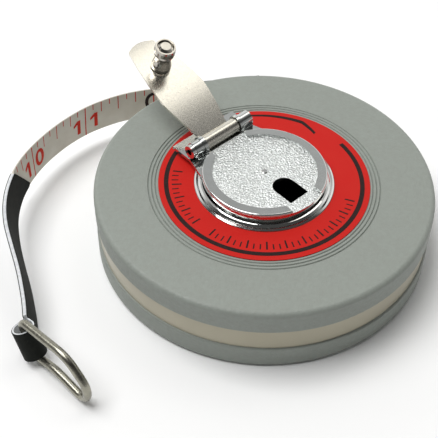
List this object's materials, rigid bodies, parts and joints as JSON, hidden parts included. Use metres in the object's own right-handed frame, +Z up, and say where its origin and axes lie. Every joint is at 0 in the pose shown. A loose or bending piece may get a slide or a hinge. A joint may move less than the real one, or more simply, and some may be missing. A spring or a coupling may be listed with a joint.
{
  "type": "tape measure",
  "caption": "Round closed-case long tape measure with a fold-out winding crank, a rotating reel, a roller mouthpiece and a wire end ring on a fabric leader.",
  "frame": {"origin": "centre of the flat underside of the case, on the reel's axis", "axes": "+Z up along the reel's axis; the mouthpiece is at the back (+Y, 14 degrees towards -X) and the tape leaves it towards -X; +X is to the right when the mouthpiece is behind"},
  "size_m": [0.1326, 0.1285, 0.0497],
  "materials": {
    "case_shell": "fine leather-grained, moulded grey-green",
    "band": "satin cream",
    "label_red": "printed satin red with black rings",
    "plated": "bright plated",
    "nickel": "satin nickel-plated sheet steel",
    "steel": "zinc-plated steel",
    "bush_brass": "turned",
    "reel_plastic": "moulded black",
    "felt": "pressed felt",
    "tape_white": "coated fibreglass cloth, off-white, red graduations",
    "leader_black": "coated cloth"
  },
  "bodies": {
    "case": {"lower_shell": "case_shell", "upper_shell": "case_shell", "rim_band": "band", "label_ring": "label_red", "hub_flange": "plated", "case_screws": "steel", "base_bush": "bush_brass", "base_cap": "reel_plastic", "mouth_frame": "reel_plastic", "inner_roller_pin": "steel", "outer_roller_pin": "steel", "tape_run": "tape_white", "tape_lead": "tape_white", "leader_strip": "leader_black", "end_loop": "leader_black"},
    "reel": {"reel_drum": "reel_plastic", "lower_reel_plate": "steel", "upper_reel_plate": "steel", "tape_coil": "tape_white", "tape_anchor": "steel", "spindle": "steel", "thrust_washer": "steel", "retaining_clip": "steel", "drag_washer": "felt", "crank_disc": "nickel", "disc_rivet": "nickel", "hinge_pin": "nickel"},
    "leaf": {"crank_leaf": "nickel", "knob_stud": "nickel"},
    "knob": {"winding_knob": "nickel"},
    "inner_roller_body": {"inner_roller": "steel"},
    "outer_roller_body": {"outer_roller": "steel"},
    "ring": {"end_ring": "nickel"}
  },
  "joints": [
    {"name": "reel_spin", "type": "hinge", "parent": "case", "child": "reel", "pos_m": [0, 0, 0.012], "axis": [0, 0, 1], "continuous": true},
    {"name": "leaf_fold", "type": "hinge", "parent": "reel", "child": "leaf", "pos_m": [-0.01473, 0.01397, 0.029], "axis": [0.6884, 0.7254, 0], "range_deg": [0, 161]},
    {"name": "knob_spin", "type": "hinge", "parent": "leaf", "child": "knob", "pos_m": [-0.03499, 0.0332, 0.03844], "axis": [0.2088, -0.1981, 0.9577], "continuous": true},
    {"name": "inner_roller_spin", "type": "hinge", "parent": "case", "child": "inner_roller_body", "pos_m": [-0.01035, 0.04854, 0.0118], "axis": [0, 0, 1], "continuous": true},
    {"name": "outer_roller_spin", "type": "hinge", "parent": "case", "child": "outer_roller_body", "pos_m": [-0.01758, 0.0523, 0.0118], "axis": [0, 0, 1], "continuous": true},
    {"name": "ring_swing", "type": "hinge", "parent": "case", "child": "ring", "pos_m": [-0.06392, -0.05294, 0.00682], "axis": [-0.2949, 0.2449, 0.9236], "range_deg": [-30, 30]}
  ]
}
